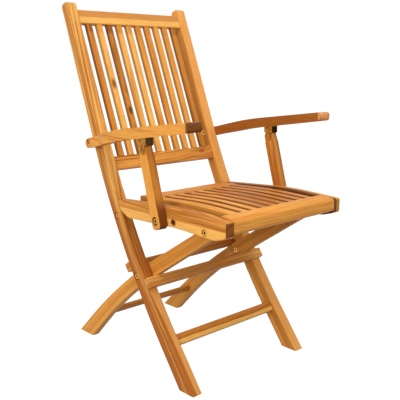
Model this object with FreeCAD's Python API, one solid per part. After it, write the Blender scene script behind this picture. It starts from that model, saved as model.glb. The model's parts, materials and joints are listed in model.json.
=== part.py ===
# Folding teak armchair with a slatted back and seat, in millimetres.
# The chair stands on the floor z = 0 and faces -Y; +X is the sitter's left.
# Two uprights run in one bent piece from the top of the back to the front feet.
# A second pair of bent legs crosses them inside and turns on a bolt at each side.
# The seat turns on a rod through the uprights and folds down onto the front legs.
# Each arm turns on its upright and is held by a post, so arm, post, seat and
# upright make a four-bar that lies down with the seat.

import FreeCAD, Part
import math
import os

os.makedirs("parts", exist_ok=True)
V = FreeCAD.Vector

# Widths across the chair, from the middle plane outwards
UPRIGHT_T = 30.0
UPRIGHT_OUT = 203.5
UPRIGHT_IN = UPRIGHT_OUT - UPRIGHT_T
RUN = 0.3
PLATE_T = 2.0
RAIL_IN = UPRIGHT_IN - RUN
PLATE_IN = RAIL_IN - PLATE_T
LEG_OUT = PLATE_IN - 0.4
LEG_T = 22.0
LEG_IN = LEG_OUT - LEG_T
BEARER_OUT = LEG_IN - 1.0
BEARER_T = 22.0
ARM_IN = UPRIGHT_OUT + 0.5
ARM_REAR_OUT = 226.0
ARM_FRONT_OUT = 243.0
POST_IN = ARM_IN + 1.0
POST_T = 25.5
POST_HALF = 14.0

# Pivots, as (y, z)
SEAT_PIVOT = (81.0, 389.5)
LEG_PIVOT = (5.0, 247.0)
ARM_PIVOT = (166.0, 569.0)
POST_FOOT = (-104.0, 411.0)
POST_HEAD = (-59.0, 571.0)

# Bolts and pins
BOLT_R = 4.0
ROD_R = 5.0
PIN_R = 3.0
FIT = 0.05
HEAD_R = 7.5
SINK_R = 9.5
SINK_DEPTH = 4.0
LOOSE_R = 5.6

# Back
LEAN = 0.394
RAIL_TOP_Z = 889.0
RAIL_TOP_H = 37.5
RAIL_LOW_Z = 516.5
RAIL_LOW_H = 35.2
BACK_SLATS = 10
BACK_SLAT_W = 17.5
BACK_SLAT_T = 11.0
BACK_SLAT_PITCH = 32.35
TENON = 12.0

# Seat
SEAT_SLATS = 9
SEAT_SLAT_W = 26.5
SEAT_SLAT_T = 14.0
SEAT_SLAT_PITCH = 33.0
FRONT_FACE = -307.0
FRONT_RAIL_REACH = 177.5
FRONT_RAIL_REAR = -266.0
REAR_RAIL_FRONT = 1.0
REAR_RAIL_REAR = 56.0

# The pieces are drawn about the seat and moved at the end, so that the outer box is centred
TO_MIDDLE = -9.75


def outline(points):
    """Closed wire in the YZ plane through (y, z, radius) corners, each rounded by its radius."""
    corners = [(V(0, y, z), r) for y, z, r in points]
    edges = []
    starts = []
    ends = []
    for i, (p, r) in enumerate(corners):
        before = corners[i - 1][0]
        after = corners[(i + 1) % len(corners)][0]
        a = (before - p).normalize()
        b = (after - p).normalize()
        half = a.getAngle(b) / 2
        if r == 0:
            starts.append(p)
            ends.append(p)
            edges.append(None)
            continue
        reach = r / math.tan(half)
        mid_dir = (a + b).normalize()
        middle = p + mid_dir * (r / math.sin(half) - r)
        starts.append(p + a * reach)
        ends.append(p + b * reach)
        edges.append(Part.Arc(p + a * reach, middle, p + b * reach).toShape())
    wire = []
    for i in range(len(corners)):
        if edges[i] is not None:
            wire.append(edges[i])
        nxt = (i + 1) % len(corners)
        if ends[i].distanceToPoint(starts[nxt]) > 1e-6:
            wire.append(Part.makeLine(ends[i], starts[nxt]))
    return Part.Wire(Part.__sortEdges__(wire))


def board(points, x0, x1):
    """A board cut to a side outline, between two planes across the chair."""
    face = Part.Face(outline(points))
    face.translate(V(x0, 0, 0))
    return face.extrude(V(x1 - x0, 0, 0))


def drill(spot, r, x0, x1):
    """A round tool along X at a (y, z) spot."""
    return Part.makeCylinder(r, x1 - x0, V(x0, spot[0], spot[1]), V(1, 0, 0))


def ease(shape, r, longer):
    """Round the long edges of a board."""
    picked = [e for e in shape.Edges if e.Length > longer]
    try:
        return shape.makeFillet(r, picked)
    except (Part.OCCError, ValueError):
        print("edges left square", len(picked))
        return shape


def other_side(shape):
    """The same piece for the other side of the chair."""
    return shape.mirror(V(0, 0, 0), V(1, 0, 0))


def save(name, shape):
    shape = shape.copy()
    shape.translate(V(0, TO_MIDDLE, 0))
    solids = shape.Solids
    assert solids and shape.isValid(), name
    out = solids[0] if len(solids) == 1 else Part.makeCompound(solids)
    out.exportStep("parts/" + name + ".step")
    box = shape.BoundBox
    print("%-24s %d solid  %.0f x %.0f x %.0f mm" % (name, len(solids), box.XLength, box.YLength, box.ZLength))


def save_pair(name, shape):
    """The shape is the +X one, on the sitter's left."""
    save(name + "_right", shape)
    save(name + "_left", other_side(shape))


def leaned(y, z, lean):
    """A placement that tips a piece back by the lean, at a point in the side view."""
    turn = FreeCAD.Rotation(V(1, 0, 0), -math.degrees(math.atan(lean)))
    return FreeCAD.Placement(V(0, y, z), turn)


def bolt(spot, head_face, shank_end, r):
    """A round-headed bolt along X: a domed head with a hexagon socket, and its shank."""
    sign = 1 if head_face > shank_end else -1
    head = Part.makeCylinder(HEAD_R, 3.0, V(0, 0, 0), V(1, 0, 0))
    head = head.makeFillet(1.2, [e for e in head.Edges if e.BoundBox.XMin > 2.9])
    socket = Part.Face(Part.makePolygon([V(1.4, 2.6 * math.cos(k * math.pi / 3), 2.6 * math.sin(k * math.pi / 3))
                                         for k in range(7)])).extrude(V(3, 0, 0))
    head = head.cut(socket)
    shank = Part.makeCylinder(r, abs(head_face - 3.0 * sign - shank_end) + 0.5, V(0.5, 0, 0), V(-1, 0, 0))
    whole = head.fuse(shank).removeSplitter()
    if sign < 0:
        whole = whole.mirror(V(0, 0, 0), V(1, 0, 0))
    whole.translate(V(head_face - 3.0 * sign, spot[0], spot[1]))
    return whole


# Uprights: one bent, tapered board each, cut flat at the floor
upright = board([(-204.0, 0.0, 0), (47.0, 325.7, 2000), (283.7, 926.5, 9),
                 (308.7, 916.8, 9), (83.7, 316.2, 2000), (-153.5, 0.0, 0)], UPRIGHT_IN, UPRIGHT_OUT)
upright = ease(upright, 2.5, 100)
for spot, r in ((SEAT_PIVOT, ROD_R), (LEG_PIVOT, BOLT_R), (ARM_PIVOT, BOLT_R)):
    upright = upright.cut(drill(spot, r, UPRIGHT_IN - 1, UPRIGHT_OUT + 1))
for spot in (SEAT_PIVOT, LEG_PIVOT):
    upright = upright.cut(drill(spot, SINK_R, UPRIGHT_OUT - SINK_DEPTH, UPRIGHT_OUT + 1))
upright = upright.cut(drill(ARM_PIVOT, SINK_R, UPRIGHT_IN - 1, UPRIGHT_IN + SINK_DEPTH))


def front_line(z):
    """y of the uprights' front edge on the straight upper part."""
    return 115.7 + LEAN * (z - 500.0)


def back_board(x0, x1, z_mid, height, front, thick):
    """A board that lies in the leaning plane of the back."""
    tip = front_line(z_mid)
    piece = Part.makeBox(x1 - x0, thick, height, V(x0, 0, -height / 2))
    piece.Placement = leaned(tip + front, z_mid, LEAN)
    return piece


top_rail = back_board(-UPRIGHT_IN, UPRIGHT_IN, RAIL_TOP_Z, RAIL_TOP_H, 3.0, 16.0)
top_rail = ease(top_rail, 2.5, 300)
low_rail = back_board(-UPRIGHT_IN, UPRIGHT_IN, RAIL_LOW_Z, RAIL_LOW_H, 4.2, 21.0)
low_rail = ease(low_rail, 2.5, 300)
top_tenon = back_board(-UPRIGHT_IN - TENON, UPRIGHT_IN + TENON, RAIL_TOP_Z, RAIL_TOP_H - 12, 7.0, 8.0)
low_tenon = back_board(-UPRIGHT_IN - TENON, UPRIGHT_IN + TENON, RAIL_LOW_Z, RAIL_LOW_H - 10, 10.0, 10.0)
top_rail = top_rail.fuse(top_tenon).removeSplitter()
low_rail = low_rail.fuse(low_tenon).removeSplitter()
upright = upright.cut(top_tenon).cut(low_tenon)

# Back slats, tenoned into both rails
span_z = RAIL_TOP_Z - RAIL_LOW_Z
slat_shapes = []
for i in range(BACK_SLATS):
    x = (i - (BACK_SLATS - 1) / 2) * BACK_SLAT_PITCH
    rise = math.hypot(span_z, front_line(RAIL_TOP_Z) - front_line(RAIL_LOW_Z))
    clear = rise - (RAIL_TOP_H + RAIL_LOW_H) / 2
    slat = Part.makeBox(BACK_SLAT_W, BACK_SLAT_T, clear, V(x - BACK_SLAT_W / 2, 0, -clear / 2))
    slat = ease(slat, 1.5, 200)
    tongue = Part.makeBox(BACK_SLAT_W - 4, BACK_SLAT_T - 3, clear + 2 * TENON,
                          V(x - BACK_SLAT_W / 2 + 2, 1.5, -clear / 2 - TENON))
    slat = slat.fuse(tongue).removeSplitter()
    z_mid = (RAIL_TOP_Z + RAIL_LOW_Z) / 2 + (RAIL_LOW_H - RAIL_TOP_H) / 4
    slat.Placement = leaned(front_line(z_mid) + 5.6, z_mid, LEAN)
    slat_shapes.append(slat)
    top_rail = top_rail.cut(slat)
    low_rail = low_rail.cut(slat)

# Stop boards on the faces of the uprights, one each side of the crossing
side_dir = V(0, 0.5812, 0.8138)
side_out = V(0, -0.8138, 0.5812)
crossing = V(0, LEG_PIVOT[0], LEG_PIVOT[1])


def stop_board(low, high, inner_low, inner_high, outer):
    corners = [crossing + side_dir * a + side_out * n for a, n in
               ((low, inner_low), (high, inner_high), (high, outer), (low, outer))]
    return board([(c.y, c.z, 1.5) for c in corners], -UPRIGHT_OUT, UPRIGHT_OUT)


front_board = stop_board(-45.5, -18.7, 22.1, 23.2, 37.8)
rear_board = stop_board(21.0, 44.0, -9.0, -9.0, -27.0)
rear_board = rear_board.cut(upright).cut(other_side(upright))

# Front stretcher, low between the front legs
stretcher_mid = V(0, -103.0, 100.0)
lean_dir = V(0, 0.60, 0.80)
lean_out = V(0, -0.80, 0.60)


def bar(middle, along, across, length, depth, x_reach, r):
    corners = [middle + along * (a * length / 2) + across * (n * depth / 2) for a, n in
               ((-1, -1), (1, -1), (1, 1), (-1, 1))]
    return board([(c.y, c.z, r) for c in corners], -x_reach, x_reach)


front_stretcher = bar(stretcher_mid, lean_dir, lean_out, 27, 24, UPRIGHT_IN, 4.0)
stretcher_tenon = bar(stretcher_mid, lean_dir, lean_out, 18, 14, UPRIGHT_IN + TENON, 3.0)
front_stretcher = front_stretcher.fuse(stretcher_tenon).removeSplitter()
upright = upright.cut(stretcher_tenon)

# Rear legs: bent boards that cross the uprights on their inner side
rear_leg = board([(262.0, 0.0, 0), (100.7, 164.1, 1300), (-258.0, 399.0, 11),
                  (-242.0, 427.0, 13), (117.0, 202.5, 1900), (326.5, 0.0, 0)], LEG_IN, LEG_OUT)
rear_leg = ease(rear_leg, 2.5, 100)
rear_leg = rear_leg.cut(drill(LEG_PIVOT, BOLT_R + FIT, LEG_IN - 1, LEG_OUT + 1))
rear_leg = rear_leg.cut(drill(LEG_PIVOT, SINK_R, LEG_IN - 1, LEG_IN + SINK_DEPTH))
rear_mid = V(0, 208.0, 83.0)
leg_dir = V(0, -0.703, 0.711)
leg_out = V(0, -0.711, -0.703)
rear_stretcher = bar(rear_mid, leg_dir, leg_out, 19, 14, LEG_IN, 3.0)
rear_tenon = bar(rear_mid, leg_dir, leg_out, 13, 9, LEG_IN + TENON, 2.0)
rear_stretcher = rear_stretcher.fuse(rear_tenon).removeSplitter()
rear_leg = rear_leg.cut(rear_tenon)

# Seat side rails, flush with the uprights and ending in front of them
side_rail = board([(66.3, 405.5, 5), (36.5, 390.8, 30), (-150.0, 397.5, 700),
                   (-272.0, 391.5, 60), (-306.5, 402.0, 8), (-306.5, 437.5, 5),
                   (-150.0, 445.0, 1200), (79.0, 430.5, 4)], RAIL_IN, UPRIGHT_OUT)
side_rail = ease(side_rail, 3.0, 100)
front_rail = board([(FRONT_RAIL_REAR, 406.0, 2), (-295.0, 403.0, 8), (FRONT_FACE, 409.0, 7), (FRONT_FACE, 437.0, 8),
                    (-284.0, 443.0, 60), (FRONT_RAIL_REAR, 443.0, 2)], -FRONT_RAIL_REACH, FRONT_RAIL_REACH)
rail_tenon = board([(-271.0, 414.0, 3), (-293.0, 414.0, 3), (-293.0, 432.0, 3), (-271.0, 432.0, 3)],
                   -FRONT_RAIL_REACH - TENON, FRONT_RAIL_REACH + TENON)
front_rail = front_rail.fuse(rail_tenon).removeSplitter()
side_rail = side_rail.cut(front_rail)

# Inner bearers carry the slats and turn on the seat rod
bearer = board([(FRONT_RAIL_REAR, 407.0, 0), (-140.0, 407.0, 500), (20.0, 394.0, 60), (66.0, 376.5, 10),
                (92.0, 376.0, 11), (96.0, 396.0, 11), (60.0, 412.0, 20), (1.0, 413.0, 2), (0.0, 424.2, 2),
                (-140.0, 431.0, 1500), (FRONT_RAIL_REAR, 427.5, 0)], BEARER_OUT - BEARER_T, BEARER_OUT)
bearer = bearer.cut(drill(SEAT_PIVOT, ROD_R + FIT, 0, 300))
rear_rail = board([(REAR_RAIL_FRONT, 413.0, 2), (REAR_RAIL_REAR, 412.0, 2), (REAR_RAIL_REAR, 438.0, 4),
                   (REAR_RAIL_FRONT, 439.0, 2)], -BEARER_OUT, BEARER_OUT)
rear_rail = rear_rail.cut(bearer).cut(other_side(bearer))

# Seat slats, gently crowned, tenoned into the front and rear rails
seat_slats = []
for i in range(SEAT_SLATS):
    x = (i - (SEAT_SLATS - 1) / 2) * SEAT_SLAT_PITCH
    half = SEAT_SLAT_W / 2
    slat = board([(REAR_RAIL_FRONT, 424.5, 0), (-140.0, 431.3, 1500), (FRONT_RAIL_REAR, 427.8, 0),
                  (FRONT_RAIL_REAR, 441.5, 0), (-140.0, 445.3, 1500), (REAR_RAIL_FRONT, 438.5, 0)],
                 x - half, x + half)
    slat = ease(slat, 2.0, 60)
    rear_tongue = Part.makeBox(SEAT_SLAT_W - 6, TENON, 7, V(x - half + 3, REAR_RAIL_FRONT, 428))
    front_tongue = Part.makeBox(SEAT_SLAT_W - 6, TENON, 7, V(x - half + 3, FRONT_RAIL_REAR - TENON, 431))
    slat = slat.fuse(rear_tongue).fuse(front_tongue).removeSplitter()
    rear_rail = rear_rail.cut(rear_tongue)
    front_rail = front_rail.cut(front_tongue)
    seat_slats.append(slat)

# Brass plates that join the side rails to the seat rod
plate = board([(-6.0, 400.0, 5), (40.0, 398.0, 20), (70.0, 379.0, 10), (88.0, 376.0, 11),
               (95.0, 392.0, 11), (84.0, 403.0, 10), (50.0, 424.0, 20), (-6.0, 425.0, 5)], PLATE_IN, RAIL_IN)
plate = plate.cut(drill(SEAT_PIVOT, ROD_R + FIT, 0, 300))
plate_spots = ((4.0, 412.0), (42.0, 411.0))
strip = board([(-126.0, 401.5, 4), (-126.0, 439.0, 4), (-200.0, 441.5, 900), (-263.0, 438.0, 4),
               (-263.0, 395.5, 4)], PLATE_IN, RAIL_IN)
strip_spots = ((-138.0, 409.5), (-241.5, 404.5))
plate_screws = []
for spot in plate_spots:
    plate = plate.cut(drill(spot, 3.5, PLATE_IN - 1, RAIL_IN + 1))
    side_rail = side_rail.cut(drill(spot, 2.0, RAIL_IN - 1, RAIL_IN + 16))
    screw = drill(spot, 3.5, PLATE_IN, RAIL_IN).fuse(drill(spot, 2.0, RAIL_IN, RAIL_IN + 16))
    plate_screws.append(screw.removeSplitter())
rail_bolts = []
for spot in strip_spots:
    strip = strip.cut(drill(spot, BOLT_R, PLATE_IN - 1, RAIL_IN + 1))
    side_rail = side_rail.cut(drill(spot, BOLT_R, RAIL_IN - 1, UPRIGHT_OUT + 1))
    side_rail = side_rail.cut(drill(spot, SINK_R - 1, UPRIGHT_OUT - SINK_DEPTH, UPRIGHT_OUT + 1))
    rail_bolts.append(bolt(spot, UPRIGHT_OUT - 1.0, PLATE_IN, BOLT_R))

# Arms: an arched board, narrow at the upright and wide in front
arm_side = board([(182.0, 577.5, 12), (178.0, 553.0, 12), (20.0, 587.5, 1100), (-235.0, 624.3, 9),
                  (-235.0, 647.2, 9), (20.0, 615.0, 1100)], ARM_IN, ARM_FRONT_OUT)
plan_points = [V(ARM_IN, 200, 500), V(ARM_REAR_OUT, 200, 500), V(ARM_REAR_OUT, 122, 500),
               V(ARM_FRONT_OUT, 78, 500), V(ARM_FRONT_OUT, -250, 500), V(ARM_IN, -250, 500), V(ARM_IN, 200, 500)]
arm_plan = Part.Face(Part.makePolygon(plan_points)).extrude(V(0, 0, 200))
arm = arm_side.common(arm_plan)
arm = arm.cut(drill(ARM_PIVOT, BOLT_R + FIT, ARM_IN - 1, 300))
arm = arm.cut(drill(ARM_PIVOT, SINK_R, ARM_REAR_OUT - SINK_DEPTH, 300))

# Brass clevis under each arm: a base and two cheeks, with the post's head between them
slope = math.atan(0.144)
base_y = POST_HEAD[0]
base_z = 598.88
cheek_t = 2.0
cheek_out = POST_IN + POST_T - 0.5
cheek_in = POST_IN + 0.5


def cheek(x0):
    y, z = POST_HEAD
    points = [(base_y - 13, base_z + 2.0, 0), (base_y + 13, base_z - 2.1, 0), (y + 13, z + 11, 2), (y + 8, z + 11, 2),
              (y + 8, z - 8.5, 7.5), (y - 8, z - 8.5, 7.5), (y - 8, z + 11, 2), (y - 13, z + 11, 2)]
    return board(points, x0, x0 + cheek_t)


base = board([(base_y - 13, base_z + 2.1, 0), (base_y + 13, base_z - 2.0, 0),
              (base_y + 13, base_z - 5.0, 0), (base_y - 13, base_z - 0.9, 0)], cheek_in, cheek_out)
clevis = base.fuse(cheek(cheek_in)).fuse(cheek(cheek_out - cheek_t)).removeSplitter()
clevis = clevis.cut(arm)
clevis = clevis.cut(drill(POST_HEAD, PIN_R, 0, 300))
head_pin = drill(POST_HEAD, PIN_R, cheek_in - 1.2, cheek_out + 1.2)

# Posts between the seat rails and the arms
axis = V(0, POST_HEAD[0] - POST_FOOT[0], POST_HEAD[1] - POST_FOOT[1]).normalize()
side = V(0, -axis.z, axis.y)
foot_c = V(0, POST_FOOT[0], POST_FOOT[1])
head_c = V(0, POST_HEAD[0], POST_HEAD[1])


def around(points):
    return [((c + axis * a + side * s).y, (c + axis * a + side * s).z, r) for c, a, s, r in points]


post = board(around([(foot_c, -21, -POST_HALF, 11), (foot_c, -21, POST_HALF, 11),
                     (head_c, -12, POST_HALF, 1), (head_c, -12, -POST_HALF, 1)]), POST_IN, POST_IN + POST_T)
post = ease(post, 2.5, 60)
tongue = board(around([(head_c, -26, -13, 0), (head_c, -26, 13, 0), (head_c, 11, 13, 9),
                       (head_c, 11, -13, 9)]), cheek_in + cheek_t + RUN, cheek_out - cheek_t - RUN)
post = post.fuse(tongue).removeSplitter()
post = post.cut(drill(POST_HEAD, PIN_R + FIT, 0, 300))
post = post.cut(drill(POST_FOOT, LOOSE_R, 0, 300))
post = post.cut(drill(POST_FOOT, SINK_R + 1.0, POST_IN + POST_T - 6.0, 300))
post_bolt = bolt(POST_FOOT, POST_IN + POST_T - 2.0, RAIL_IN, PIN_R)
side_rail = side_rail.cut(drill(POST_FOOT, PIN_R, RAIL_IN - 1, UPRIGHT_OUT + 1))

# Pivot bolts and the seat rod
leg_bolt = bolt(LEG_PIVOT, UPRIGHT_OUT - 1.0, LEG_IN + 1.0, BOLT_R)
leg_nut = Part.makeCylinder(HEAD_R, 2.6, V(LEG_IN + 1.0, LEG_PIVOT[0], LEG_PIVOT[1]), V(1, 0, 0))
leg_bolt = leg_bolt.fuse(leg_nut).removeSplitter()
arm_bolt = bolt(ARM_PIVOT, ARM_REAR_OUT - 1.0, UPRIGHT_IN + 1.4, BOLT_R)
arm_nut = Part.makeCylinder(HEAD_R, 2.6, V(UPRIGHT_IN + 1.4, ARM_PIVOT[0], ARM_PIVOT[1]), V(1, 0, 0))
arm_bolt = arm_bolt.fuse(arm_nut).removeSplitter()
rod = Part.makeCylinder(ROD_R, 2 * (UPRIGHT_OUT - 4.0), V(-UPRIGHT_OUT + 4.0, SEAT_PIVOT[0], SEAT_PIVOT[1]),
                        V(1, 0, 0))
rod_head = bolt(SEAT_PIVOT, UPRIGHT_OUT - 1.0, UPRIGHT_OUT - 8.0, ROD_R)
rod = rod.fuse(rod_head).fuse(other_side(rod_head)).removeSplitter()

save_pair("upright", upright)
save("back_top_rail", top_rail)
save("back_bottom_rail", low_rail)
for i, slat in enumerate(slat_shapes):
    save("back_slat_%02d" % (i + 1), slat)
save("stop_board_front", front_board)
save("stop_board_rear", rear_board)
save("front_stretcher", front_stretcher)
save("seat_pivot_rod", rod)
save("leg_pivot_bolts", Part.makeCompound([leg_bolt, other_side(leg_bolt)]))
save("arm_pivot_bolts", Part.makeCompound([arm_bolt, other_side(arm_bolt)]))
save_pair("rear_leg", rear_leg)
save("rear_stretcher", rear_stretcher)
save_pair("seat_side_rail", side_rail)
save("seat_front_rail", front_rail)
save("seat_rear_rail", rear_rail)
save_pair("seat_bearer", bearer)
for i, slat in enumerate(seat_slats):
    save("seat_slat_%d" % (i + 1), slat)
save_pair("seat_hinge_plate", plate)
save_pair("guide_strip", strip)
both_screws = plate_screws + [other_side(s) for s in plate_screws]
save("hinge_plate_screws", Part.makeCompound(both_screws))
both_bolts = rail_bolts + [other_side(b) for b in rail_bolts]
save("seat_rail_bolts", Part.makeCompound(both_bolts))
save("post_foot_bolts", Part.makeCompound([post_bolt, other_side(post_bolt)]))
save_pair("arm", arm)
save_pair("arm_clevis", clevis)
save_pair("arm_clevis_pin", head_pin)
save_pair("arm_post", post)
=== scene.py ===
# %% [markdown]
# # A folding teak armchair
# This lesson dresses a chair whose solids are already made. Every board, bolt and
# plate arrives as its own mesh, grouped into bodies that turn on the chair's pivots.
# We leave those meshes alone. The work is in the camera, the light, and above all in
# the timber: oiled teak with ring figure, pale sapwood bands, knots and dark end grain.

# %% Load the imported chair
import math

import bpy
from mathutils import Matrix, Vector
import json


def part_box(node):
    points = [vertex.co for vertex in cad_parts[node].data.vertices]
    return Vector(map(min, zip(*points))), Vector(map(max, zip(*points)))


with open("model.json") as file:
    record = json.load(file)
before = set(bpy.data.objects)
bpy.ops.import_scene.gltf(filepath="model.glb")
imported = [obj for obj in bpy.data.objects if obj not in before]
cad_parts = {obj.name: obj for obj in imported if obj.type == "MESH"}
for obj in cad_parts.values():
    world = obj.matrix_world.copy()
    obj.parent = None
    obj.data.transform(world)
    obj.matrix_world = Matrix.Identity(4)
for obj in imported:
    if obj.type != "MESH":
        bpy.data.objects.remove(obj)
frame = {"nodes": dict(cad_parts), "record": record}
nodes = frame["nodes"]
scene = bpy.context.scene
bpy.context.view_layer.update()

# %% [markdown]
# ## Where the photographer stood
# Straight edges of the chair fix the camera: it stood in front and to the chair's
# right, a little above the arms, and looked slightly down. We place the camera by its
# own position and two angles instead of aiming it at a point, because the frame has
# to keep the same empty margins round the chair. No depth of field is used, so every
# board is sharp.

# %% Camera
SENSOR_WIDTH = 36.0
LENS = 59.42
CAMERA_PLACE = (-1.1580, -1.26865, 0.7639)
LOOK_DOWN = 11.565
LOOK_ASIDE = 42.794

camera_data = bpy.data.cameras.new("photo_camera")
camera_data.sensor_width = SENSOR_WIDTH
camera_data.lens = LENS
camera = bpy.data.objects.new("photo_camera", camera_data)
scene.collection.objects.link(camera)
camera.location = CAMERA_PLACE
camera.rotation_euler = (math.radians(90.0 - LOOK_DOWN), 0.0, math.radians(-LOOK_ASIDE))
scene.camera = camera
print("camera at", tuple(round(v, 3) for v in camera.location))

# %% [markdown]
# ## Sums with nodes
# Floor, surround, timber and brass are all node trees. Wiring nodes by hand takes three
# lines for every sum. A small class keeps the tree and offers one short call for each
# thing we do often: a sum, a soft step, a mix. The recipes below then read like the
# sums they stand for.

# %% Sums


class Sums:
    """A node tree with short ways to add nodes. Most calls answer with an output socket."""

    def __init__(self, tree):
        self.tree = tree

    def add(self, kind, feeds=None, **settings):
        """A node of one kind. Its inputs are fed with sockets or with plain values."""
        node = self.tree.nodes.new("ShaderNode" + kind)
        for key, value in settings.items():
            setattr(node, key, value)
        for name, value in (feeds or {}).items():
            target = node.inputs[name]
            if isinstance(value, bpy.types.NodeSocket):
                self.tree.links.new(value, target)
            else:
                target.default_value = value
        return node

    def math(self, operation, first, second=0.0, third=0.0):
        return self.add("Math", {0: first, 1: second, 2: third}, operation=operation).outputs[0]

    def plus(self, first, second):
        return self.math("ADD", first, second)

    def minus(self, first, second):
        return self.math("SUBTRACT", first, second)

    def times(self, first, second):
        return self.math("MULTIPLY", first, second)

    def over(self, first, second):
        return self.math("DIVIDE", first, second)

    def ramp(self, value, low, high, to_low=0.0, to_high=1.0):
        """A soft step between two values. It falls where low is the greater one."""
        feeds = {"Value": value, "From Min": low, "From Max": high, "To Min": to_low, "To Max": to_high}
        return self.add("MapRange", feeds, interpolation_type="SMOOTHSTEP").outputs[0]

    def mix(self, share, first, second, blend="MIX"):
        """The first colour, with this share of the second."""
        colours = {0: share, 6: first, 7: second}
        return self.add("Mix", colours, data_type="RGBA", blend_type=blend).outputs[2]


print("sums ready")

# %% [markdown]
# ## A bench for places and patterns
# Timber and brass also need places: to take one apart, to turn it, to measure how far
# off it lies. And they need noise, the raw material of every natural pattern. A second
# class adds these to the sums. Each material and world gets its own bench, and we clear
# the nodes that Blender puts there, so that nothing is left over.

# %% Bench


class Bench(Sums):
    """The sums, and short ways to handle places and noise."""

    def point(self, x, y, z):
        return self.add("CombineXYZ", {0: x, 1: y, 2: z}).outputs[0]

    def parts(self, vector):
        return self.add("SeparateXYZ", {0: vector}).outputs

    def length(self, x, y, z=0.0):
        """How far the point lies from the origin."""
        return self.add("VectorMath", {0: self.point(x, y, z)}, operation="LENGTH").outputs["Value"]

    def turned(self, vector, angles):
        feeds = {"Vector": vector, "Rotation": angles}
        return self.add("VectorRotate", feeds, rotation_type="EULER_XYZ").outputs[0]

    def noise(self, vector, scale=1.0, detail=2.0, roughness=0.5):
        feeds = {"Vector": vector, "Scale": scale, "Detail": detail, "Roughness": roughness}
        return self.add("TexNoise", feeds).outputs["Fac"]

    def chance(self, number):
        """A random value from 0 to 1 that belongs to the number."""
        return self.add("TexWhiteNoise", {"W": number}, noise_dimensions="1D").outputs["Value"]


def fresh_bench(owner):
    """A bench on the emptied node tree of a material or a world."""
    owner.use_nodes = True
    owner.node_tree.nodes.clear()
    return Bench(owner.node_tree)


print("bench ready")

# %% [markdown]
# ## The floor
# The chair stands on a plain floor. It is one large square, and it lies half a millimetre under the
# feet, so that the two never fight for the same place. It isn't part of the chair.

# %% Floor
FLOOR_REACH = 14.0
FLOOR_DROP = 0.0005

floor_corners = [(-FLOOR_REACH, -FLOOR_REACH, 0), (FLOOR_REACH, -FLOOR_REACH, 0),
                 (FLOOR_REACH, FLOOR_REACH, 0), (-FLOOR_REACH, FLOOR_REACH, 0)]
floor_mesh = bpy.data.meshes.new("studio_floor")
floor_mesh.from_pydata(floor_corners, [], [(0, 1, 2, 3)])
floor = bpy.data.objects.new("studio_floor", floor_mesh)
floor.location.z = -FLOOR_DROP
scene.collection.objects.link(floor)
print("floor laid,", 2 * FLOOR_REACH, "m across")

# %% [markdown]
# ## A floor that looks white and stays dim
# The floor runs out into a white surround. A lamp strong enough to turn it white would
# also bleach the wood. So the floor has a grey diffuse skin, and only the camera and
# reflections see an added white on top of it. A soft shadow under the feet survives
# that, and the wood is lit at an honest level.

# %% Floor paint
FLOOR_GREY = (0.22, 0.22, 0.22, 1)
FLOOR_GLOW = 0.94
WHITE = (1, 1, 1, 1)


def looking_ray(bench):
    """One where the surface is looked at, also in metal or through glass, and zero for its light."""
    ray = bench.add("LightPath").outputs
    seen = bench.math("MAXIMUM", ray["Is Camera Ray"], ray["Is Glossy Ray"])
    return bench.math("MAXIMUM", seen, ray["Is Transmission Ray"])


floor_paint = bpy.data.materials.new("studio_floor_paint")
bench = fresh_bench(floor_paint)
skin = bench.add("BsdfDiffuse", {"Color": FLOOR_GREY})
glow_strength = bench.times(looking_ray(bench), FLOOR_GLOW)
glow = bench.add("Emission", {"Color": WHITE, "Strength": glow_strength})
both = bench.add("AddShader", {0: skin.outputs[0], 1: glow.outputs[0]})
bench.add("OutputMaterial", {"Surface": both.outputs[0]})
floor_mesh.materials.append(floor_paint)
print("floor painted")

# %% [markdown]
# ## The white surround
# The surround fills every direction that no lamp covers. It is white for the camera and
# in reflections, and dimmer and a little warm as a light, so that the wood keeps the
# colours we write. The Standard view transform shows those colours unchanged.

# %% Surround
SURROUND_TINT = (1, 0.985, 0.96, 1)
SURROUND_STRENGTH = 0.74

world = bpy.data.worlds.new("white_studio")
scene.world = world
bench = fresh_bench(world)
light_part = bench.add("Background", {"Color": SURROUND_TINT, "Strength": SURROUND_STRENGTH})
white_part = bench.add("Background", {"Color": WHITE, "Strength": 1.0})
chosen = bench.add("MixShader", {0: looking_ray(bench),
                                 1: light_part.outputs[0], 2: white_part.outputs[0]})
bench.add("OutputWorld", {"Surface": chosen.outputs[0]})
scene.view_settings.view_transform = "Standard"
print("surround is white, and lights at", SURROUND_STRENGTH)

# %% [markdown]
# ## Lamps
# Soft light in a studio comes from large cloth boxes. One box hangs above, one stands
# on the side of the chair that the camera sees, and a weak one stands in front. The two
# standing boxes are hidden from reflections, or a board seen at a low angle would glare.

# %% Lamps


def hang_lamp(name, place, aim, size, watts, shines=False):
    """A square soft box that looks at a point."""
    data = bpy.data.lights.new(name, "AREA")
    data.shape = "SQUARE"
    data.size = size
    data.energy = watts
    lamp = bpy.data.objects.new(name, data)
    lamp.location = place
    lamp.rotation_euler = (Vector(aim) - Vector(place)).to_track_quat("-Z", "Y").to_euler()
    lamp.visible_glossy = shines
    scene.collection.objects.link(lamp)
    print(name, watts, "W")


hang_lamp("top_box", place=(-0.9, -0.9, 3.0), aim=(0, 0, 0.4), size=1.8, watts=36, shines=True)
hang_lamp("left_box", place=(-3.0, -0.9, 1.2), aim=(0, 0, 0.4), size=1.6, watts=48)
hang_lamp("front_box", place=(0.4, -3.2, 1.5), aim=(0, 0, 0.5), size=1.6, watts=13)

# %% [markdown]
# ## Colours
# Oiled teak is a warm orange-brown. Boards of one chair still differ: some are pale
# honey, some russet, and a few are nearly walnut. We name a dozen tones once and mix
# every board from them. Hex values are easier to compare with a screen, so a small
# helper turns them into the linear numbers that shaders use.

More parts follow.
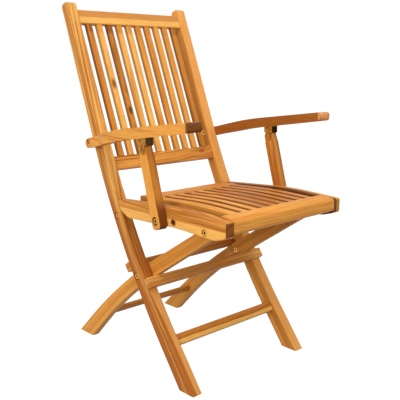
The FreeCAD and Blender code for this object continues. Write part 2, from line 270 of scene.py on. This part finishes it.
# %% Tones


def tone(hexed):
    """Linear colour from an on-screen hex value."""
    parts = [int(hexed[i:i + 2], 16) / 255 for i in (0, 2, 4)]
    linear = [c / 12.92 if c <= 0.04045 else ((c + 0.055) / 1.055) ** 2.4 for c in parts]
    return (*linear, 1.0)


SAP = tone("F3B75E")
PEACH = tone("F0AC67")
HONEY = tone("E7A148")
STRAW = tone("E9A354")
CARAMEL = tone("D6924A")
TAN = tone("D29250")
AMBER = tone("CF8430")
DUN = tone("C07C38")
RUSSET = tone("AC6222")
CHESTNUT = tone("A05C20")
UMBER = tone("7C4214")
BARK = tone("48270A")
print("tones mixed")

# %% [markdown]
# ## How a board gets its figure
# A board is a slice of a tree, so the honest way to draw grain is to draw the tree. We
# measure how far each surface point lies from an imagined pith line beside the board,
# and colour it by ring. Long faces then show flowing lines and the sawn ends show arcs,
# with no seams between them, because one solid pattern feeds every face.
#
# The group's inputs are the things a joiner would say of a board: which way it runs,
# where it bends, how far the pith was, how wide the rings are, where the sapwood
# starts, and whether there is a knot. They start with values that suit a plain board,
# whose knot lies far off. The group answers with a colour, a roughness and a height.
# The shader itself stays outside, in each material.

# %% Inputs of the teak group
FAR_OFF = 9.0


def title(key):
    """A socket's name from a Python name: sap_from becomes Sap From."""
    return key.replace("_", " ").title()


def ask(group, kind, **values):
    """Gives a group an input of this kind for each value."""
    for key, value in values.items():
        made = group.interface.new_socket(title(key), in_out="INPUT", socket_type="NodeSocket" + kind)
        made.default_value = value


teak_group = bpy.data.node_groups.new("Teak Board", "ShaderNodeTree")
ask(teak_group, "Vector", turn=(0, 0, 0))
ask(teak_group, "Float", knee=0.0, slope_below=0.0, slope_above=0.0, knee_softness=0.05)
ask(teak_group, "Float", seed=0.0, slat_pitch=10.0, slat_start=0.0)
ask(teak_group, "Float", pith_aside=0.07, pith_behind=0.05, ring_width=0.006, contrast=1.0)
ask(teak_group, "Color", light=HONEY, dark=RUSSET, sapwood=SAP)
ask(teak_group, "Float", sap_from=1.0, sap_to=1.01, sap_waver=0.006, sap_aside=0.0, sap_below=FAR_OFF)
# Side Shade and Edge Shade paint shade on flanks and on edges beside gaps. On several boards Deepen
# carries painted shade, and on some painted light.
ask(teak_group, "Float", end_shade=0.6, side_shade=0.0, edge_shade=0.0)
ask(teak_group, "Float", deepen=0.0, deepen_from=0.0, deepen_to=0.1)
ask(teak_group, "Vector", knot=(0, 0, -FAR_OFF))
ask(teak_group, "Float", knot_size=0.008)
print("teak group inputs:", len(teak_group.interface.items_tree))

# %% [markdown]
# ## Where a point lies in its board
# First the board is turned so that it runs upwards. Then the bend is taken out, by
# subtracting a line that changes its slope at the knee. What is left is one distance
# along the board and one across it, and the grain can be drawn as if it were straight.
# All of this uses the mesh's own coordinates, which stay with the wood when the chair
# folds.

# %% Along and across
bench = Bench(teak_group)
given = teak_group.nodes.new("NodeGroupInput").outputs
place = bench.add("TexCoord").outputs
side, back, up = bench.parts(bench.turned(place["Object"], given["Turn"]))
along = bench.minus(up, given["Knee"])
below = bench.times(along, given["Slope Below"])
above = bench.times(along, given["Slope Above"])
across = bench.minus(back, bench.math("SMOOTH_MIN", below, above, given["Knee Softness"]))
print("a point now has a place along and across its board")

# %% [markdown]
# ## Every slat is another board
# Slats of a row share one material, yet they weren't cut from one plank. We count along
# the row in steps of the slat pitch, and the count gives each board a number. The
# number shifts the rings, and a random value that belongs to it shifts the depth of
# colour. A slow noise makes the grain wander a little, as a living trunk does. Most
# noises in the wood are stretched along the board, so one helper makes them from their
# waves per metre across and along.

# %% A number for each board
NUMBER_STEP = 3.71
RINGS_SHIFTED = 0.37
WANDER_WAVES = (9.0, 3.2)


def grain_noise(waves, shift=0.0, roughness=0.5):
    """Noise with so many waves in a metre across the board, and so many along it."""
    across_waves, along_waves = waves
    stretched = bench.point(bench.times(side, across_waves),
                            bench.times(across, across_waves),
                            bench.plus(bench.times(along, along_waves), shift))
    return bench.noise(stretched, roughness=roughness)


steps = bench.over(bench.minus(side, given["Slat Start"]), given["Slat Pitch"])
number = bench.plus(bench.times(bench.math("FLOOR", steps), NUMBER_STEP), given["Seed"])
board_chance = bench.chance(number)
hop = bench.times(number, RINGS_SHIFTED)
wander = bench.minus(grain_noise(WANDER_WAVES, hop), 0.5)
print("boards are numbered and their grain wanders")

# %% [markdown]
# ## The pith and the knot
# The distance from the pith decides the ring. The pith line wanders with the grain and
# leans a little, as a trunk tapers. A knot is where a branch stood: it bends the rings
# round it and is dark in its middle. It is longer than wide and runs deep, so distances
# along the board and through it count for less. Both effects fade outward, and their
# limits are given in knot sizes.

# %% Distance from the pith, and the knot
WANDER_ASIDE = 0.030
WANDER_BEHIND = 0.022
TRUNK_TAPER = 0.03
KNOT_ACROSS = 0.6
KNOT_ALONG = 0.5
KNOT_SWIRL = (2.6, 0.3)
KNOT_HEART = (1.0, 0.35)
KNOT_BEND = 0.012

aside = bench.plus(bench.plus(side, given["Pith Aside"]), bench.times(wander, WANDER_ASIDE))
behind = bench.plus(bench.plus(across, given["Pith Behind"]), bench.times(wander, WANDER_BEHIND))
behind = bench.plus(behind, bench.times(along, TRUNK_TAPER))

knot_side, knot_across, knot_along = bench.parts(given["Knot"])
near = bench.length(bench.minus(side, knot_side),
                    bench.times(bench.minus(across, knot_across), KNOT_ACROSS),
                    bench.times(bench.minus(along, knot_along), KNOT_ALONG))
knot_sizes = bench.over(near, given["Knot Size"])
swirl = bench.ramp(knot_sizes, *KNOT_SWIRL)
knot = bench.ramp(knot_sizes, *KNOT_HEART)
radius = bench.plus(bench.length(aside, behind), bench.times(swirl, KNOT_BEND))
print("pith distance and knot ready")

# %% [markdown]
# ## Rings
# The distance from the pith, divided by the ring width, says which ring a point is in
# and how far through it. Wood darkens slowly through a season and drops back sharply,
# so a ring is a slow rise and a quick fall. Some years are faint and some are strong.

# %% Rings
SLOW_RISE = (0.05, 0.8)
QUICK_FALL = (0.88, 1.0)
FAINTEST_RING = 0.35

turns = bench.plus(bench.over(radius, given["Ring Width"]), hop)
season = bench.math("FRACT", turns)
ring = bench.minus(bench.ramp(season, *SLOW_RISE), bench.ramp(season, *QUICK_FALL))
year_chance = bench.chance(bench.math("FLOOR", turns))
ring = bench.times(ring, bench.ramp(year_chance, 0.0, 1.0, FAINTEST_RING, 1.0))
print("rings ready")

# %% [markdown]
# ## Bands, pores and streaks
# Three more scales make the figure believable. Broad bands several rings wide carry the
# dark heartwood, so they are counted outward from the pith. Fine pores run along the
# board and catch the oil. Streaks between those two sizes show best on narrow slats.

# %% Bands, pores and streaks
BANDS_OUTWARD = 55.0
BANDS_ALONG = 1.6
BAND_EDGE = (0.38, 0.66)
PORE_WAVES = (900.0, 26.0)
STREAK_WAVES = (210.0, 5.0)

band_place = bench.point(bench.times(radius, BANDS_OUTWARD), bench.times(along, BANDS_ALONG), hop)
band = bench.ramp(bench.noise(band_place), *BAND_EDGE)
pores = grain_noise(PORE_WAVES, roughness=0.6)
streaks = grain_noise(STREAK_WAVES, hop, roughness=0.55)
print("bands, pores and streaks ready")

# %% [markdown]
# ## From depth to colour
# Each of these adds its share to one depth between the board's light and dark tones. The shares are
# given one by one. A board may also deepen along its length.

# %% Heartwood
RING_SHARE = 0.42
BAND_SHARE = 0.52
STREAK_SHARE = 0.85
BOARD_SHARE = 0.42
KNOT_SHARE = 0.9
FULL_DEPTH = 0.9

depth = bench.plus(bench.times(ring, RING_SHARE), bench.times(band, BAND_SHARE))
depth = bench.plus(depth, bench.times(bench.minus(streaks, 0.5), STREAK_SHARE))
depth = bench.plus(depth, bench.times(bench.minus(board_chance, 0.5), BOARD_SHARE))
depth = bench.times(depth, given["Contrast"])
# On several boards this deepening is painted shade, and on some, where it is negative or left out,
# painted light.
deepen = bench.times(bench.ramp(along, given["Deepen From"], given["Deepen To"]), given["Deepen"])
depth = bench.plus(bench.plus(depth, deepen), bench.times(knot, KNOT_SHARE))
wood = bench.mix(bench.ramp(depth, 0.0, FULL_DEPTH), given["Light"], given["Dark"])
print("heartwood coloured")

# %% [markdown]
# ## Sapwood, pores and bark brown
# Sapwood, the pale outer wood, is laid over one edge. Its border runs along the board
# and wavers a little, and faint rings still show in it. It lies between two places
# across the board, and their order says on which side the sapwood is. The pores are
# rubbed in next. Last, a knot goes bark brown, and so does a board that deepens beyond
# its dark tone.

# %% Sapwood, pores and bark brown
SAP_RINGS = 0.35
PORE_EDGE = (0.30, 0.62)
PORE_BROWN = (0.80, 0.74, 0.68, 1)
KNOT_BROWN = 0.85
BEYOND_DARK = (1.0, 2.0)

sap_edge = bench.math("MULTIPLY_ADD", side, given["Sap Aside"], across)
sap_edge = bench.math("MULTIPLY_ADD", wander, given["Sap Waver"], sap_edge)
sap = bench.ramp(sap_edge, given["Sap From"], given["Sap To"])
sap = bench.times(sap, bench.math("LESS_THAN", along, given["Sap Below"]))
sap_tint = bench.mix(bench.times(ring, SAP_RINGS), given["Sapwood"], given["Light"])
wood = bench.mix(sap, wood, sap_tint)
pore_tint = bench.mix(bench.ramp(pores, *PORE_EDGE), PORE_BROWN, WHITE)
wood = bench.mix(1.0, wood, pore_tint, "MULTIPLY")
wood = bench.mix(bench.times(knot, KNOT_BROWN), wood, BARK)
wood = bench.mix(bench.ramp(deepen, *BEYOND_DARK), wood, BARK)
print("long faces coloured")

# %% [markdown]
# ## Ends, flanks and edges
# Sawn ends drink more oil and turn dark. The flanks of slats get painted shade, as the gaps between
# slats lie in shade, and so do the edges beside a gap, which makes the dark gaps look wider. The surface
# normal says which way a face looks, and the place in the row says how near a gap is: the two edges of a
# slat are given as shares of the slat pitch.

# %% Darker faces
LOOKS_ALONG = (0.72, 0.97)
LOOKS_ASIDE = (0.3, 0.7)
SHADE_LEAST = 0.4
SHADE_OF_RINGS = 0.5
FIRST_EDGE = (0.34, 0.24)
LAST_EDGE = (0.84, 0.88)

looks_aside, _, looks_along = bench.parts(bench.turned(place["Normal"], given["Turn"]))
shade = bench.plus(bench.times(ring, SHADE_OF_RINGS), SHADE_LEAST)
end_grain_and_shade_colour = bench.mix(shade, given["Dark"], BARK)
sawn = bench.ramp(bench.math("ABSOLUTE", looks_along), *LOOKS_ALONG)
sawn = bench.times(sawn, given["End Shade"])
wood = bench.mix(sawn, wood, end_grain_and_shade_colour)
# Painted shade on flanks, which face the gaps.
flank = bench.ramp(bench.math("ABSOLUTE", looks_aside), *LOOKS_ASIDE)
wood = bench.mix(bench.times(flank, given["Side Shade"]), wood, end_grain_and_shade_colour)
# Painted shade on the edges beside a gap, which widens the dark gaps.
in_pitch = bench.math("FRACT", steps)
edge = bench.plus(bench.ramp(in_pitch, *FIRST_EDGE), bench.ramp(in_pitch, *LAST_EDGE))
wood = bench.mix(bench.times(edge, given["Edge Shade"]), wood, end_grain_and_shade_colour)
print("ends, flanks and edges shaded")

# %% [markdown]
# ## Roughness and height
# Oiled teak has a soft sheen, duller on the sawn ends. The pores and rings stand a hair
# proud, which a bump can carry because it is far too fine for the mesh.

# %% Answers of the teak group
STREAK_LIMITS = (0.2, 0.8)
SMOOTHEST = 0.44
ROUGHEST = 0.60
SAWN_ROUGHER = 0.18
PORE_HEIGHT = 0.7
RING_HEIGHT = 0.3


def answer(group, **sockets):
    """Gives a group an output for each of these sockets, and links the two."""
    for key, socket in sockets.items():
        kind = "NodeSocketColor" if socket.type == "RGBA" else "NodeSocketFloat"
        group.interface.new_socket(title(key), in_out="OUTPUT", socket_type=kind)
    ends = group.nodes.new("NodeGroupOutput").inputs
    for key, socket in sockets.items():
        group.links.new(socket, ends[title(key)])


rough = bench.ramp(streaks, *STREAK_LIMITS, SMOOTHEST, ROUGHEST)
rough = bench.plus(rough, bench.times(sawn, SAWN_ROUGHER))
height = bench.plus(bench.times(pores, PORE_HEIGHT), bench.times(ring, RING_HEIGHT))
answer(teak_group, color=wood, roughness=rough, height=height)
print("teak group:", len(teak_group.nodes), "nodes")

# %% [markdown]
# ## One recipe, many boards
# A material holds the Principled shader and one copy of the group. What changes from
# board to board is a short list: which way the board runs, where it bends, which two
# tones it lies between, and where its sapwood starts. Lengths are in metres.

# %% A material from the group
BUMP_STRENGTH = 0.18
BUMP_DISTANCE = 0.0006
OIL_SPECULAR = 0.15


def placed(bench, group, **values):
    """The outputs of a group that is placed on a bench, with its own values."""
    feeds = {title(key): value for key, value in values.items()}
    return bench.add("Group", feeds, node_tree=group).outputs


def teak(name, light, dark, **values):
    """A teak material. The values are the group's inputs, written as Python names."""
    material = bpy.data.materials.new("teak_" + name)
    bench = fresh_bench(material)
    grain = placed(bench, teak_group, light=light, dark=dark, **values)
    bump = bench.add("Bump", {"Height": grain["Height"],
                              "Strength": BUMP_STRENGTH, "Distance": BUMP_DISTANCE})
    shader = bench.add("BsdfPrincipled", {"Base Color": grain["Color"], "Roughness": grain["Roughness"],
                                          "Normal": bump.outputs[0], "Specular IOR Level": OIL_SPECULAR})
    bench.add("OutputMaterial", {"Surface": shader.outputs[0]})
    return material


def dress(material, *names):
    """Gives the named pieces this material alone."""
    for name in names:
        slots = nodes[name].data.materials
        slots.clear()
        slots.append(material)


def dress_board(name, light, dark, **values):
    """Gives one board a teak of its own."""
    dress(teak(name, light, dark, **values), name)


print("ready to dress boards")

# %% [markdown]
# ## Directions and places
# The group wants every board to run upwards. Turning about X does that for a board that
# runs front to back, and turning about Y for one that runs across the chair. Where a
# pattern has to sit on a slat, a bolt or a fork, its place is read from the box of that
# piece.

# %% Directions and places
FRONT_TO_BACK = (math.radians(90), 0, 0)
ACROSS = (0, math.radians(90), 0)


def middle(name):
    """The middle of a piece's box."""
    low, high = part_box(name)
    return (low + high) / 2


def step(name, next_name):
    """How far apart two neighbours of a row stand."""
    return middle(next_name).x - middle(name).x


print("seat slats stand", round(step("seat_slat_1", "seat_slat_2"), 4), "m apart")

# %% [markdown]
# ## Uprights
# Each upright leans back, and it leans more below the seat than above, so its grain line has a knee just
# under the seat. One shows a paler strip down the front of its lower half, and darkens below the seat,
# partly its own tone and partly painted shade of the seat.
#
# The other is darker on its inner face only. For that, the sapwood's border has to run
# through the board's thickness. A large "Sap Aside" does it: the place from side to
# side then outweighs the place across, and both limits grow by the same factor.

# %% Uprights
UPRIGHT_BEND = dict(knee=0.3257, slope_below=0.7706, slope_above=0.394, knee_softness=0.06)
OUTWEIGH = 100.0


def sap_beyond(start, end):
    """Sapwood outside a plane, which lies so far from the chair's middle."""
    return dict(sap_aside=OUTWEIGH, sap_from=OUTWEIGH * start, sap_to=OUTWEIGH * end)


# The deepening of upright_left below the seat is partly painted shade of the seat.
dress_board("upright_left", SAP, RUSSET, **UPRIGHT_BEND, seed=3.1, pith_aside=0.15, pith_behind=0.02,
            sapwood=CARAMEL, sap_aside=-1.0, sap_from=0.229, sap_to=0.225, sap_waver=0.02,
            sap_below=-0.09, deepen=0.45, deepen_from=0.20, deepen_to=-0.05)
dress_board("upright_right", HONEY, RUSSET, **UPRIGHT_BEND, seed=8.4, pith_aside=-0.23, pith_behind=0.05,
            contrast=0.7, sapwood=STRAW, **sap_beyond(0.1745, 0.175))
print("uprights dressed")

# %% [markdown]
# ## Rear legs
# The rear legs cross the uprights and have a knee of their own, a little below the bolt at the crossing.
# One grows darker towards the seat. The other grows paler towards the floor, as painted light on the
# lower part of its inner face, which lies in shade.

# %% Rear legs
LEG_BEND = dict(knee=0.183, slope_below=-1.01, slope_above=-1.55, knee_softness=0.06)

dress_board("rear_leg_left", HONEY, AMBER, **LEG_BEND, seed=5.2, pith_aside=0.11, pith_behind=0.05,
            contrast=1.2, deepen=0.4, deepen_from=0.0, deepen_to=0.12)
# The negative deepening of rear_leg_right is painted light on its shaded lower inner face.
dress_board("rear_leg_right", HONEY, AMBER, **LEG_BEND, seed=11.7, pith_aside=-0.2, pith_behind=0.04,
            deepen=-0.4, deepen_from=0.0, deepen_to=-0.12)
print("rear legs dressed")

# %% [markdown]
# ## The rails of the back
# Two rails hold the slats. The top rail is darker in its upper band and pale in its lower band. The
# bottom rail shows the swirl of a knot near one end.

# %% Back rails
WIDE_RINGS = dict(pith_behind=0.3, ring_width=0.009)

dress_board("back_top_rail", TAN, AMBER, turn=ACROSS, **WIDE_RINGS, seed=2.3,
            sap_aside=1.0, sap_from=1.160, sap_to=1.156)
dress_board("back_bottom_rail", HONEY, RUSSET, turn=ACROSS, **WIDE_RINGS, seed=7.9,
            knot=(0.523, 0.115, -0.133), knot_size=0.010)
print("back rails dressed")

# %% [markdown]
# ## The slats of the back
# The ten slats come from several offcuts, some red-brown and some pale, so they share three recipes. Two
# of them were cut through small knots and have their own. All get painted shade on their flanks, and a
# little painted shade at the top, where they enter the rail.

# %% Back slats
# side_shade and the deepening at the top are painted shade: on the flanks, and under the rail.
back_slat = dict(knee=0.5, slope_below=0.394, slope_above=0.394, pith_aside=0.05,
                 slat_pitch=step("back_slat_01", "back_slat_02"), side_shade=0.5,
                 deepen=0.3, deepen_from=0.343, deepen_to=0.353)
high_knot = (middle("back_slat_02").x, 0.11, 0.215)
low_knot = (middle("back_slat_03").x, 0.11, 0.145)

dress(teak("back_slats_red", AMBER, UMBER, **back_slat, seed=1.7), "back_slat_01", "back_slat_10")
dress(teak("back_slat_knot_high", SAP, AMBER, **back_slat, seed=2.6, knot=high_knot, knot_size=0.011),
      "back_slat_02")
dress(teak("back_slat_knot_low", AMBER, UMBER, **back_slat, seed=3.8, knot=low_knot, knot_size=0.011),
      "back_slat_03")
dress(teak("back_slats_pale", SAP, AMBER, **back_slat, seed=4.2), "back_slat_04", "back_slat_05")
dress(teak("back_slats_plain", HONEY, AMBER, **back_slat, seed=6.5),
      "back_slat_06", "back_slat_07", "back_slat_08", "back_slat_09")
print("ten back slats dressed")

# %% [markdown]
# ## Cross boards
# The stop boards and stretchers run across the chair. The front stop board is a duller piece than its
# neighbours, and it grows paler towards one end, as painted light on an end that lies in shade under the
# seat. The front stretcher is pale sapwood along its lower half. This rail leans back with the uprights,
# and its border is given a slope that runs square through it.

# %% Boards across
SQUARE_TO_LEAN = 1.333

# The pale, undeepened end of stop_board_front is painted light on a shaded end.
dress_board("stop_board_front", SAP, DUN, turn=ACROSS, seed=4.4, pith_behind=0.25, end_shade=0.1,
            deepen=0.35, deepen_from=-0.19, deepen_to=-0.12)
dress_board("stop_board_rear", HONEY, RUSSET, turn=ACROSS, seed=9.1, pith_behind=0.2, end_shade=0.1)
dress_board("front_stretcher", AMBER, RUSSET, turn=ACROSS, seed=6.6, pith_behind=0.15,
            sap_aside=SQUARE_TO_LEAN, sap_from=0.027, sap_to=0.023, sap_waver=0.03)
dress_board("rear_stretcher", HONEY, RUSSET, turn=ACROSS, seed=1.2, pith_behind=0.1)
print("boards across dressed")

# %% [markdown]
# ## The frame of the seat
# Side rails and bearers run front to back, the front and rear rails across. One side rail is pale
# sapwood along its lower edge and darker above. The other is dark along its inner half, as painted shade
# of the deep gap beside the slats, and pale along its outer half; its border wavers, and its inner face
# gets painted shade too. The thin guide strips inside the side rails are dark, as painted shade inside
# the rails, and their flanks get painted shade as well.

# %% Seat frame
dress_board("seat_side_rail_left", HONEY, RUSSET, turn=FRONT_TO_BACK, seed=2.9, end_shade=1.0,
            sap_from=-0.409, sap_to=-0.4075, sap_waver=0.01)
# The dark inner half and the side shade of this rail are painted shade of the gap beside the slats.
dress_board("seat_side_rail_right", UMBER, BARK, turn=FRONT_TO_BACK, seed=12.5, contrast=0.5,
            end_shade=0.3, side_shade=0.5, sapwood=HONEY, sap_waver=0.4, **sap_beyond(0.1835, 0.185))
dress_board("seat_front_rail", HONEY, AMBER, turn=ACROSS, seed=5.8)
dress_board("seat_rear_rail", SAP, AMBER, turn=ACROSS, seed=3.3)
dress(teak("seat_bearers", HONEY, RUSSET, turn=FRONT_TO_BACK, seed=14.0),
      "seat_bearer_left", "seat_bearer_right")
# The dark tones and the side shade of the guide strips are painted shade inside the rails.
dress(teak("guide_strips", AMBER, UMBER, turn=FRONT_TO_BACK, seed=4.1, side_shade=1.0),
      "guide_strip_left", "guide_strip_right")
print("seat frame dressed")

# %% [markdown]
# ## The slats of the seat
# Nine slats run front to back. Their flanks, down in the gaps, get painted shade, and so do the edges
# beside the gaps, which makes the dark gaps look wider. The first slat has a wide slot beside it, so its
# flank is in plain view and gets less painted shade. The last four slats are redder than the others.

# %% Seat slats
seat_slat_names = sorted(name for name in nodes if name.startswith("seat_slat"))
seat_pitch = step("seat_slat_1", "seat_slat_2")
seat_slat = dict(turn=FRONT_TO_BACK, seed=9.7, contrast=0.8,
                 slat_pitch=seat_pitch, slat_start=-seat_pitch / 2)
# Painted shade on the flanks and on the edges beside the gaps.
painted_gap_shade = dict(side_shade=1.0, edge_shade=1.0)

dress(teak("seat_slat_outer", HONEY, RUSSET, **seat_slat, side_shade=0.3), seat_slat_names[0])
dress(teak("seat_slats", HONEY, RUSSET, **seat_slat, **painted_gap_shade), *seat_slat_names[1:5])
dress(teak("seat_slats_red", AMBER, RUSSET, **seat_slat, **painted_gap_shade), *seat_slat_names[5:])
print(len(seat_slat_names), "seat slats dressed")

# %% [markdown]
# ## Arms and posts
# Arm boards are wide, so their ends show. The front end of one is nearly black-brown: dark end grain,
# deepened by painted shade. The other arm is chestnut brown up to a pale tip, partly its own tone and
# partly painted shade on its inner face and painted light on its front end. One post is pale on its
# outer side, as painted light on the face that the side lamp reaches, and darkens towards its foot in
# front.

# %% Arms and posts
POST_LEAN = dict(knee=0.5, slope_below=0.28, slope_above=0.28)

# The deepening of the front end of arm_left is painted shade over dark end grain.
dress_board("arm_left", HONEY, RUSSET, turn=FRONT_TO_BACK, seed=6.0, contrast=0.8,
            deepen=1.7, deepen_from=-0.232, deepen_to=-0.240)
# arm_right: the deepened body is partly painted shade on its inner face, and the undeepened tip is
# painted light.
dress_board("arm_right", PEACH, CHESTNUT, turn=FRONT_TO_BACK, seed=7.3, end_shade=0.1,
            deepen=0.55, deepen_from=-0.239, deepen_to=-0.234)
# The sapwood on the outer side of arm_post_left is painted light on the face that the side lamp reaches.
dress_board("arm_post_left", AMBER, UMBER, **POST_LEAN, seed=10.2,
            deepen=1.2, deepen_from=-0.02, deepen_to=-0.1,
            sapwood=HONEY, sap_aside=-10.0, sap_from=2.187, sap_to=2.197)
dress_board("arm_post_right", HONEY, RUSSET, **POST_LEAN, seed=13.4)
print("arms and posts dressed")

# %% [markdown]
# ## How brass ages
# The metal is brass that has dulled outdoors, with soft clouds of tarnish. Two kinds of painted shade
# are told by place. Each bolt darkens within a small circle about its own axis, as painted shade in its
# socket. The forks under the arms darken near the plane through their middle, as painted shade between
# their cheeks.
#
# Every brass piece ages like this, so it is a second group. It asks for two tones, for
# the places of up to two bolts, and for how far a fork stands from the chair's middle.
# Bolts and fork start far off the chair, where their painted shade falls on nothing.

# %% Inputs of the brass group
BRIGHT = tone("E8AC66")
DULL = tone("B87E40")
FORK_SHADE = tone("4A3216")

brass_group = bpy.data.node_groups.new("Aged Brass With Painted Shade", "ShaderNodeTree")
ask(brass_group, "Color", bright=BRIGHT, dull=DULL, inside=FORK_SHADE)
ask(brass_group, "Vector", bolt=(0, FAR_OFF, 0), other_bolt=(0, FAR_OFF, 0))
ask(brass_group, "Float", fork_middle=FAR_OFF)
print("brass group inputs:", len(brass_group.interface.items_tree))

# %% [markdown]
# ## Clouds, sockets and forks
# One noise makes the clouds, and the dull places are rougher too. The axis of a bolt
# runs across the chair, so only the places back and up tell how far from it a point
# lies. Left and right forks stand alike, so the place aside is taken without its sign.

# %% Clouds, sockets and forks
CLOUD_SCALE = 120.0
CLOUD_EDGE = (0.35, 0.7)
SHEEN_EDGE = (0.3, 0.7)
SMOOTHEST_BRASS = 0.28
ROUGHEST_BRASS = 0.45
SOCKET_RIM = (0.0031, 0.0028)
CHEEK = (0.0108, 0.0118)

bench = Bench(brass_group)
given = brass_group.nodes.new("NodeGroupInput").outputs
place = bench.add("TexCoord").outputs["Object"]
side, back, up = bench.parts(place)
cloud = bench.noise(place, CLOUD_SCALE, detail=3.0)
metal = bench.mix(bench.ramp(cloud, *CLOUD_EDGE), given["Bright"], given["Dull"])
for name in ("Bolt", "Other Bolt"):
    _, bolt_back, bolt_up = bench.parts(given[name])
    off_axis = bench.length(bench.minus(back, bolt_back), bench.minus(up, bolt_up))
    # Painted shade in the socket of each bolt, a small circle about its axis.
    metal = bench.mix(bench.ramp(off_axis, *SOCKET_RIM), metal, BARK)
# Painted shade between the cheeks of a fork, near the plane through its middle.
off_middle = bench.minus(bench.math("ABSOLUTE", side), given["Fork Middle"])
outside = bench.ramp(bench.math("ABSOLUTE", off_middle), *CHEEK)
metal = bench.mix(outside, given["Inside"], metal)
sheen = bench.ramp(cloud, *SHEEN_EDGE, SMOOTHEST_BRASS, ROUGHEST_BRASS)
answer(brass_group, color=metal, roughness=sheen)
print("brass group:", len(brass_group.nodes), "nodes")

# %% [markdown]
# ## Plates and forks
# The record says which pieces are brass, and they all get one material first. One fork has gone brown
# outside and the other is still yellow, where a sleeve rubs it. Both get painted shade between their
# cheeks.

# %% Brass pieces
BROWN_BRIGHT = tone("B88034")
BROWN_DULL = tone("84541E")
YELLOW_BRIGHT = tone("E2B04A")
YELLOW_DULL = tone("A0762E")


def brass(name, bright, dull, **values):
    """A brass material. The values are the group's inputs, written as Python names."""
    material = bpy.data.materials.new(name)
    bench = fresh_bench(material)
    metal = placed(bench, brass_group, bright=bright, dull=dull, **values)
    shader = bench.add("BsdfPrincipled", {"Base Color": metal["Color"], "Metallic": 1.0,
                                          "Roughness": metal["Roughness"]})
    bench.add("OutputMaterial", {"Surface": shader.outputs[0]})
    return material


brass_names = [part["node"] for part in frame["record"]["subparts"] if part["material_slot"] == "brass"]
fork_middle = middle("arm_clevis_right").x
dress(brass("dull_brass", BRIGHT, DULL), *brass_names)
dress(brass("brown_brass", BROWN_BRIGHT, BROWN_DULL, fork_middle=fork_middle),
      "arm_clevis_left", "arm_clevis_pin_left")
dress(brass("yellow_brass", YELLOW_BRIGHT, YELLOW_DULL, fork_middle=fork_middle),
      "arm_clevis_right", "arm_clevis_pin_right")
print(len(brass_names), "brass pieces dressed, forks", round(fork_middle, 5), "m from the middle")

# %% [markdown]
# ## Bolts with painted shade in their sockets
# A bolt's axis goes through the middle of its box, also where a left and a right bolt
# share one piece. The side rails carry two bolts each, and the middle of their box lies
# halfway between them, so we step from there to either one. The bolts on the outside of
# the seat are a little duller than those at the pivots.

# %% Bolts
OLD_BRIGHT = tone("D09850")
OLD_DULL = tone("A06C34")
RAIL_BOLT_STEP = Vector((0, 0.05175, 0.0025))


def dress_bolts(name, bright, dull, offsets=(Vector(),)):
    """Brass for bolts that stand at these offsets from the middle of their box."""
    axes = [middle(name) + offset for offset in offsets]
    bolts = dict(zip(("bolt", "other_bolt"), axes))
    dress(brass("brass_of_" + name, bright, dull, **bolts), name)


dress_bolts("leg_pivot_bolts", BRIGHT, DULL)
dress_bolts("arm_pivot_bolts", BRIGHT, DULL)
dress_bolts("post_foot_bolts", OLD_BRIGHT, OLD_DULL)
dress_bolts("seat_rail_bolts", OLD_BRIGHT, OLD_DULL, (RAIL_BOLT_STEP, -RAIL_BOLT_STEP))
print("bolts dressed")

# %% [markdown]
# Dressing must not change the chair's size.

# %% Sizes
import json
